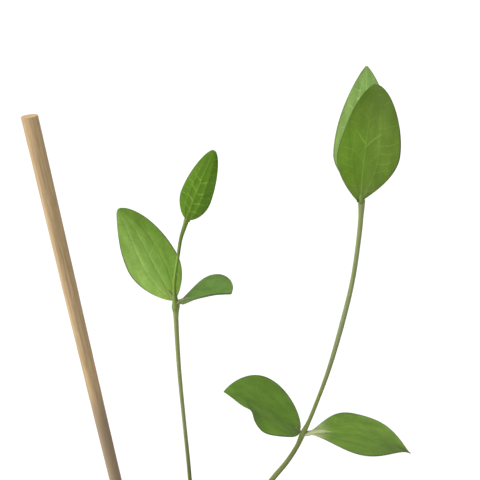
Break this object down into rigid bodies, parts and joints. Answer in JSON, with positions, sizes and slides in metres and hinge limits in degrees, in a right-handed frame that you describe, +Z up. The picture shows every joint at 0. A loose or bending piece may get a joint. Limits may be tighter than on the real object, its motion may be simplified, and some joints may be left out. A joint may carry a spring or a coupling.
{
  "type": "potted clematis",
  "caption": "Young climbing plant with slim green shoots and paired oval leaves, beside a round wooden stick in a plain plastic nursery pot filled with soil.",
  "frame": {"origin": "middle of the underside of the pot, on the surface that the pot stands on", "axes": "+Z up; +X to the right as seen in the reference view, towards the longer shoot; the viewer looks along +Y"},
  "size_m": [0.1747, 0.136, 0.4226],
  "materials": {
    "pot_plastic": "satin",
    "potting_soil": "matte",
    "stick_wood": "matte",
    "stem_green": "satin",
    "leaf_green": "satin"
  },
  "bodies": {
    "root": {"pot": "pot_plastic", "soil": "potting_soil", "support_stick": "stick_wood", "stem_left": "stem_green", "stem_right": "stem_green", "leaf_left_node_large": "leaf_green", "leaf_left_node_small": "leaf_green", "leaf_left_tip_front": "leaf_green", "leaf_left_tip_back": "leaf_green", "leaf_right_node_left": "leaf_green", "leaf_right_node_right": "leaf_green", "leaf_right_tip_front": "leaf_green", "leaf_right_tip_back": "leaf_green"}
  },
  "joints": []
}
